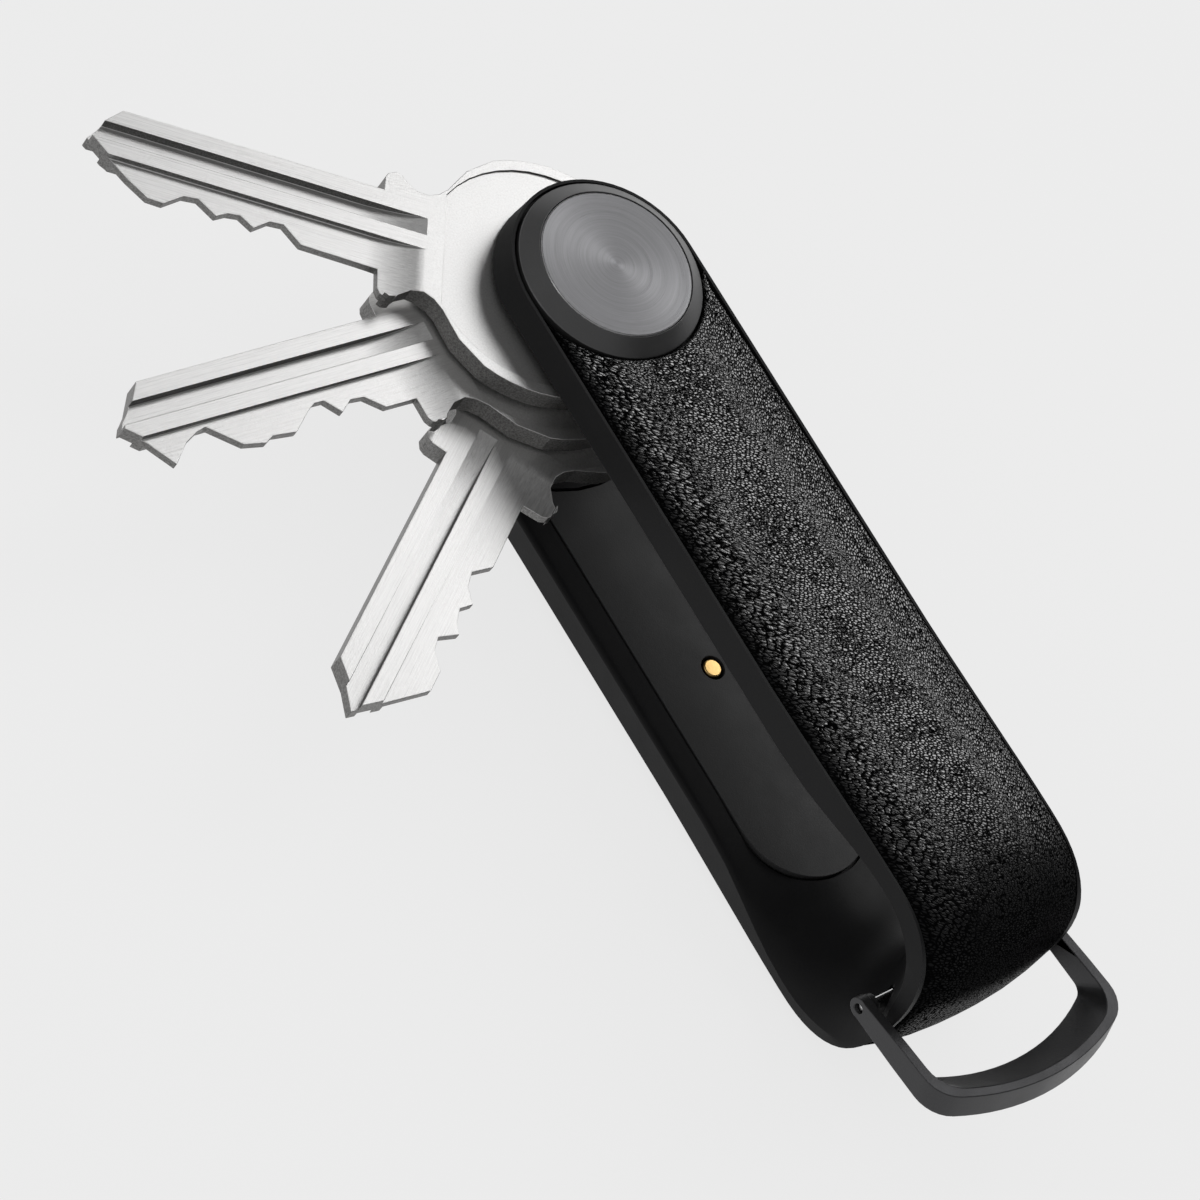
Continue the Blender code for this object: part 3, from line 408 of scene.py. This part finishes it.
def nickel_finish(name, angle):
    """Nickel plate: fine scratches along the blade, a tumbled sparkle on the bow, and upright flanks painted
    darker, a painted shade.
    """
    made, tree, shader = new_material(name)
    coordinate = node(tree, "ShaderNodeTexCoord").outputs
    turned = node(tree, "ShaderNodeMapping", vector_type="POINT",
                  inputs={"Rotation": (0.0, 0.0, -math.radians(angle))})
    wire(tree, coordinate["Object"], turned.inputs["Vector"])
    own = turned.outputs["Vector"]
    upright = maths(tree, "ABSOLUTE", split_xyz(tree, coordinate["Normal"])["Z"])
    on_face = mapped(tree, upright, FLAT_FACE_SLOPE, smooth=True)
    on_blade = mapped(tree, split_xyz(tree, own)["X"], BLADE_START, smooth=True)
    long_lines = streaks(tree, own, 45.0, 5500.0, detail=4.0)
    short_lines = streaks(tree, own, 350.0, 9000.0, detail=2.0)
    specks = noise(tree, own, SPECK_SCALE, detail=2.0, roughness=0.6)
    lines = maths(tree, "ADD", maths(tree, "MULTIPLY", long_lines, 0.6),
                  maths(tree, "MULTIPLY", short_lines, 0.4))
    sparkle = maths(tree, "MULTIPLY_ADD", specks, 0.35, 0.30)
    mark = mix_colour(tree, on_blade, sparkle, lines)
    face = ramp(tree, mark, ((0.28, (0.46, 0.456, 0.45)), (0.43, (0.72, 0.716, 0.71)),
                             (0.60, (0.86, 0.856, 0.85))))
    # The upright flanks get a dark colour: painted shade.
    painted_flank_shade = ramp(tree, specks, ((0.3, (0.10, 0.099, 0.097)), (0.7, (0.26, 0.257, 0.252))))
    wire(tree, mix_colour(tree, on_face, painted_flank_shade, face), shader.inputs["Base Color"])
    wire(tree, mapped(tree, mark, (0.3, 0.7), (0.36, 0.46)), shader.inputs["Roughness"])
    scratched = bump(tree, lines, SCRATCH_HEIGHT, strength=0.35)
    speckled = bump(tree, specks, SPECK_HEIGHT, strength=0.4, under=scratched)
    wire(tree, speckled, shader.inputs["Normal"])
    shader.inputs["Metallic"].default_value = 1.0
    return made


# Finishes: dark and light shade, the range of roughness, and the grain's scale.
MOULDED = grained("moulded_case", (0.0045, 0.0045, 0.0048), (0.0085, 0.0085, 0.009), (0.40, 0.50), 5200.0,
                  specular=0.13)
LINER = grained("bay_lining", (0.013, 0.013, 0.0135), (0.022, 0.022, 0.0225), (0.46, 0.56), 7000.0,
                height=0.6, specular=0.35)
BEZEL = grained("coated_bezel", (0.075, 0.075, 0.076), (0.108, 0.108, 0.109), (0.27, 0.35), 6500.0,
                metallic=0.85)
BAIL = grained("coated_bail", (0.042, 0.042, 0.044), (0.062, 0.062, 0.064), (0.34, 0.46), 5200.0,
               height=0.7, metallic=0.8)
SPACER = grained("dark_spacer", (0.02, 0.02, 0.02), (0.035, 0.035, 0.035), (0.38, 0.5), 5000.0,
                 height=0.4, metallic=0.3)
STEEL = grained("spring_steel", (0.42, 0.42, 0.42), (0.6, 0.6, 0.6), (0.25, 0.38), 5000.0,
                height=0.4, metallic=1.0)
BRASS = grained("stud_brass", (0.52, 0.34, 0.12), (0.72, 0.49, 0.21), (0.22, 0.32), 4000.0,
                height=0.3, metallic=1.0)
PIN = grained("pin_steel", (0.75, 0.75, 0.75), (0.9, 0.9, 0.9), (0.15, 0.25), 4000.0,
              height=0.2, metallic=1.0)
LEATHER = leather_finish()
DISC = brushed_disc("turned_disc", DISC_RADIUS + DISC_SPREAD - CHAMFER_HIGHLIGHT_WIDTH)
SCREW = brushed_disc("turned_screw", SCREW_RADIUS - CHAMFER_HIGHLIGHT_WIDTH)
NICKEL = {key: nickel_finish("worn_nickel_" + key[-1], angle) for key, angle in KEY_ANGLES.items()}


# Eased pieces: each copies a solid of the part, joins its faces and eases its edges.
def eased(name, new_name, finish, width, segments=2, angle=30.0, smooth=SMOOTH_UP_TO):
    """A smooth-shaded copy of a node with softened edges, which stands for the node."""
    source = NODES[name]
    mesh = source.data.copy()
    piece = bpy.data.objects.new(new_name, mesh)
    bpy.context.scene.collection.objects.link(piece)
    bm = bmesh.new()
    bm.from_mesh(mesh)
    bmesh.ops.remove_doubles(bm, verts=bm.verts, dist=JOIN_DISTANCE)
    bmesh.ops.dissolve_limit(bm, angle_limit=math.radians(FLAT_ANGLE), verts=bm.verts, edges=bm.edges)
    for face in bm.faces:
        face.smooth = True
    for edge in bm.edges:
        edge.smooth = len(edge.link_faces) == 2 and edge.calc_face_angle(math.pi) < math.radians(smooth)
    bm.to_mesh(mesh)
    bm.free()
    if width > 0.0:
        softened = piece.modifiers.new("eased_edges", "BEVEL")
        softened.width = width
        softened.segments = segments
        softened.limit_method = "ANGLE"
        softened.angle_limit = math.radians(angle)
        softened.use_clamp_overlap = False
        softened.harden_normals = True
        levelled = piece.modifiers.new("face_weighted", "WEIGHTED_NORMAL")
        levelled.keep_sharp = True
    mesh.materials.clear()
    mesh.materials.append(finish)
    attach(piece, source["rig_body"])
    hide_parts(name)
    return piece


# Each node's new piece, its finish and the width of its softened edges in millimetres.
PIECES = {
    "frame": ("moulded_frame", MOULDED, 0.0),
    "bay_liner": ("lining_plate", LINER, 0.06),
    "liner_stud": ("brass_stud", BRASS, 0.05),
    "front_bezel": ("front_bezel_ring", BEZEL, 0.10),
    "rear_bezel": ("rear_bezel_ring", BEZEL, 0.10),
    "front_disc": ("turned_front_disc", DISC, 0.05),
    "lock_screw": ("turned_lock_screw", SCREW, 0.05),
    "pivot_post": ("steel_post", STEEL, 0.0),
    "tension_washer": ("spring_washer", STEEL, 0.04),
    "base_washer": ("wide_base_washer", SPACER, 0.05),
    "spacer_1": ("lower_spacer", SPACER, 0.05),
    "spacer_2": ("middle_spacer", SPACER, 0.05),
    "spacer_3": ("upper_spacer", SPACER, 0.05),
    "key_washer_1": ("upper_key_washer", STEEL, 0.03),
    "key_washer_2": ("lower_key_washer", STEEL, 0.03),
    "ring_bail": ("coated_ring_bail", BAIL, 0.10),
    "bail_pin": ("polished_pin", PIN, 0.04),
    "key_1": ("upper_key", NICKEL["key_1"], 0.07),
    "key_2": ("middle_key", NICKEL["key_2"], 0.07),
    "key_3": ("lower_key", NICKEL["key_3"], 0.07)}
pieces = {}
for name, (new_name, finish, width) in PIECES.items():
    pieces[name] = eased(name, new_name, finish, width * MM, smooth=OWN_SMOOTH_UP_TO.get(name, SMOOTH_UP_TO))

# The disc is pressed into its ring, so it fills the seat.
for point in pieces["front_disc"].data.vertices:
    point.co.x *= 1.0 + DISC_SPREAD / DISC_RADIUS
    point.co.y *= 1.0 + DISC_SPREAD / DISC_RADIUS

# The leather is tucked under both caps and closes up to the lips of its bed.
cover = eased("leather_cover", "wrapped_leather", LEATHER, COVER_EASING, segments=3, angle=40.0, smooth=60.0)
for point in cover.data.vertices:
    from_post = math.hypot(point.co.x, point.co.y)
    if from_post < COVER_CAP_EDGE + COVER_CAP_BAND:
        point.co.x *= 1.0 - CAP_TUCK / from_post
        point.co.y *= 1.0 - CAP_TUCK / from_post
    point.co.y *= 1.0 + LIP_TUCK / COVER_HALF_WIDTH


# Studio.
def softbox(name, direction, size, power, spin=0.0):
    """A rectangular lamp that looks at the part from a direction, spun by an angle in degrees."""
    lamp = bpy.data.lights.new(name, "AREA")
    lamp.shape = "RECTANGLE"
    lamp.size, lamp.size_y = size
    lamp.energy = power
    holder = bpy.data.objects.new(name, lamp)
    bpy.context.scene.collection.objects.link(holder)
    away = Vector(direction).normalized()
    holder.location = Vector(LAMP_TARGET) + away * LAMP_DISTANCE
    holder.rotation_mode = "QUATERNION"
    spun = Matrix.Rotation(math.radians(spin), 3, "Z").to_quaternion()
    holder.rotation_quaternion = away.to_track_quat("Z", "Y") @ spun


softbox("back_softbox", (-0.14, 0.75, 0.67), size=(0.28, 0.58), power=1.63, spin=-45.0)
softbox("front_softbox", (-0.25, -0.80, 0.52), size=(0.30, 0.12), power=0.26)


def seen_directly(tree):
    """1 on camera rays and on rays that mirror or pass through something, else 0."""
    path = node(tree, "ShaderNodeLightPath").outputs
    mirrored = maths(tree, "MAXIMUM", path["Is Glossy Ray"], path["Is Transmission Ray"])
    return maths(tree, "MAXIMUM", path["Is Camera Ray"], mirrored)


# The room is an even grey light. Where it is seen, it is a pale wall round the floor's edge under a
# ceiling that is grey at the front and dark at the back.
world = bpy.data.worlds.new("studio_room")
bpy.context.scene.world = world
world.use_nodes = True
room = world.node_tree
even = room.nodes["Background"]
even.inputs["Color"].default_value = (ROOM_GREY, ROOM_GREY, ROOM_GREY, 1.0)
even.inputs["Strength"].default_value = 1.0
direction = split_xyz(room, node(room, "ShaderNodeTexCoord").outputs["Generated"])
ceiling = mapped(room, direction["Y"], FRONT_TO_BACK, (FRONT_CEILING_GREY, CEILING_GREY))
rise = mapped(room, direction["Z"], WALL_TO_CEILING)
wall = (BACKGROUND_GREY, BACKGROUND_GREY, BACKGROUND_GREY)
seen = node(room, "ShaderNodeBackground")
wire(room, mix_colour(room, rise, wall, ceiling), seen.inputs["Color"])
blend = node(room, "ShaderNodeMixShader")
wire(room, seen_directly(room), blend.inputs["Fac"])
wire(room, even.outputs["Background"], blend.inputs[1])
wire(room, seen.outputs["Background"], blend.inputs[2])
wire(room, blend.outputs["Shader"], room.nodes["World Output"].inputs["Surface"])

# Pale floor: it shows the background's grey and keeps a faint shadow.
floor_bm = bmesh.new()
bmesh.ops.create_grid(floor_bm, x_segments=1, y_segments=1, size=FLOOR_HALF_SIZE)
floor_mesh = bpy.data.meshes.new("pale_floor")
floor_bm.to_mesh(floor_mesh)
floor_bm.free()
floor = bpy.data.objects.new("pale_floor", floor_mesh)
bpy.context.scene.collection.objects.link(floor)
floor_look, tree, shader = new_material("pale_floor")
shader.inputs["Base Color"].default_value = (FLOOR_GREY, FLOOR_GREY, FLOOR_GREY, 1.0)
shader.inputs["Roughness"].default_value = FLOOR_ROUGHNESS
shader.inputs["Specular IOR Level"].default_value = 0.0
glow = node(tree, "ShaderNodeEmission")
glow.inputs["Color"].default_value = (BACKGROUND_GREY, BACKGROUND_GREY, BACKGROUND_GREY, 1.0)
floor_mix = node(tree, "ShaderNodeMixShader")
wire(tree, maths(tree, "MULTIPLY", seen_directly(tree), FLOOR_GLOW_SHARE), floor_mix.inputs["Fac"])
wire(tree, shader.outputs["BSDF"], floor_mix.inputs[1])
wire(tree, glow.outputs["Emission"], floor_mix.inputs[2])
wire(tree, floor_mix.outputs["Shader"], tree.nodes["Material Output"].inputs["Surface"])
floor_mesh.materials.append(floor_look)

# Camera.
lens = bpy.data.cameras.new("photo_camera")
lens.sensor_fit = "AUTO"
lens.sensor_width = SENSOR_WIDTH
lens.lens = FOCAL_LENGTH
lens.clip_start = CLIP_NEAR
lens.clip_end = CLIP_FAR
camera = bpy.data.objects.new("photo_camera", lens)
bpy.context.scene.collection.objects.link(camera)
stance = Matrix((CAMERA_RIGHT, CAMERA_UP, CAMERA_BACK)).transposed().to_4x4()
stance.translation = CAMERA_PLACE
camera.matrix_world = stance
bpy.context.scene.camera = camera
bpy.context.scene.view_settings.view_transform = "Standard"
